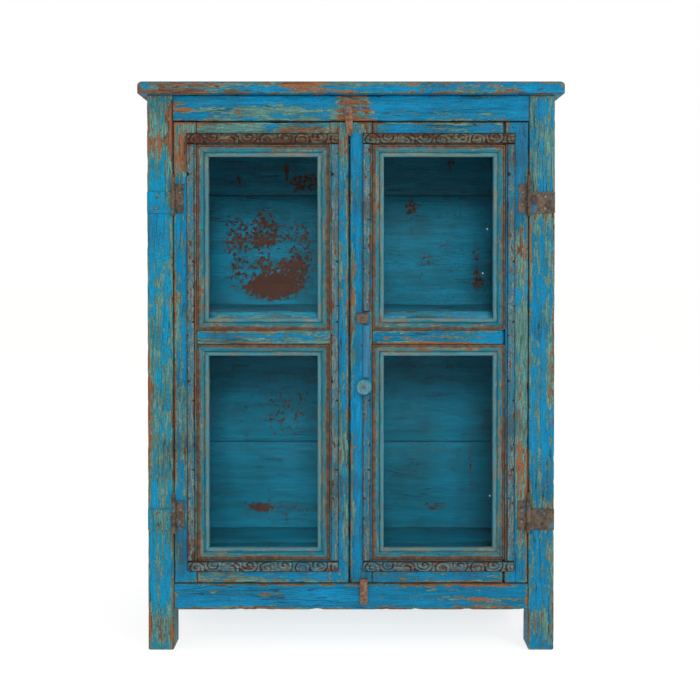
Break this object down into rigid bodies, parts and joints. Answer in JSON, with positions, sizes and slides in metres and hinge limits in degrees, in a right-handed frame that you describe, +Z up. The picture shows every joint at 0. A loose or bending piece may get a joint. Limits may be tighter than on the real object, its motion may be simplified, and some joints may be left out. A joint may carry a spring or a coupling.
{
  "type": "china cabinet with glass doors",
  "caption": "Upright display cabinet in old painted wood: square posts, plank back, sides, shelf and top, and inset glazed doors on knuckle hinges, kept shut by turn buttons.",
  "frame": {"origin": "on the floor, halfway across the cabinet and halfway between the knob's tip and the rear edge of the top", "axes": "+Z up, -Y out of the front, +X to the right as seen from the front"},
  "size_m": [0.817, 0.408, 1.1],
  "materials": {
    "blue_paint": "bright blue paint over green, worn to brown wood along edges and grain",
    "inner_paint": "darker teal-blue paint, flaked in patches to brown wood",
    "bead_paint": "thin rubbed blue-green paint over brown wood",
    "carved_paint": "rubbed carving with paint left in its hollows",
    "old_wood": "bare brown wood, dusty",
    "knob_paint": "blue paint rubbed at the rim",
    "boss_wood": "bare worn wood, polished by hands",
    "glass": "clear old window glass",
    "iron": "rusted wrought iron with traces of paint"
  },
  "bodies": {
    "carcass": {"back_board_1": "inner_paint", "back_board_2": "inner_paint", "back_board_3": "inner_paint", "back_board_4": "inner_paint", "back_bottom_rail": "blue_paint", "back_left_post": "blue_paint", "back_right_post": "blue_paint", "back_top_rail": "blue_paint", "carcass_nails": "iron", "floor_boards": "inner_paint", "floor_cleats": "old_wood", "frame_hinge_leaves": "iron", "front_bottom_rail": "blue_paint", "front_left_post": "blue_paint", "front_right_post": "blue_paint", "front_top_rail": "blue_paint", "hinge_pins": "iron", "left_side_boards": "blue_paint", "left_side_bottom_rail": "blue_paint", "left_side_top_rail": "blue_paint", "right_side_boards": "blue_paint", "right_side_bottom_rail": "blue_paint", "right_side_top_rail": "blue_paint", "shelf_boards": "inner_paint", "shelf_cleats": "old_wood", "top_board_1": "blue_paint", "top_board_2": "blue_paint", "top_board_3": "blue_paint", "top_door_stop": "old_wood", "turn_button_pins": "iron"},
    "left_door": {"left_door_bottom_rail": "blue_paint", "left_door_carved_strips": "carved_paint", "left_door_hinge_leaves": "iron", "left_door_hinge_stile": "blue_paint", "left_door_lower_beads": "bead_paint", "left_door_lower_glass": "glass", "left_door_meeting_stile": "blue_paint", "left_door_middle_rail": "blue_paint", "left_door_nails": "iron", "left_door_top_rail": "blue_paint", "left_door_upper_beads": "bead_paint", "left_door_upper_glass": "glass"},
    "right_door": {"right_door_boss": "boss_wood", "right_door_bottom_rail": "blue_paint", "right_door_carved_strips": "carved_paint", "right_door_hinge_leaves": "iron", "right_door_hinge_stile": "blue_paint", "right_door_knob": "knob_paint", "right_door_knob_screw": "iron", "right_door_lower_beads": "bead_paint", "right_door_lower_glass": "glass", "right_door_meeting_stile": "blue_paint", "right_door_middle_rail": "blue_paint", "right_door_nails": "iron", "right_door_top_rail": "blue_paint", "right_door_upper_beads": "bead_paint", "right_door_upper_glass": "glass"},
    "top_turn_button": {"top_turn_button": "iron"},
    "bottom_turn_button": {"bottom_turn_button": "iron"}
  },
  "joints": [
    {"name": "left_door_hinge", "type": "hinge", "parent": "carcass", "child": "left_door", "pos_m": [-0.34275, -0.181, 0.576], "axis": [0, 0, -1], "range_deg": [0, 170]},
    {"name": "right_door_hinge", "type": "hinge", "parent": "carcass", "child": "right_door", "pos_m": [0.34275, -0.181, 0.576], "axis": [0, 0, 1], "range_deg": [0, 170]},
    {"name": "top_button_turn", "type": "hinge", "parent": "carcass", "child": "top_turn_button", "pos_m": [-0.0058, -0.18325, 1.044], "axis": [0, -1, 0], "range_deg": [-115, 105]},
    {"name": "bottom_button_turn", "type": "hinge", "parent": "carcass", "child": "bottom_turn_button", "pos_m": [0.0245, -0.17875, 0.096], "axis": [0, -1, 0], "range_deg": [-110, 110]}
  ]
}
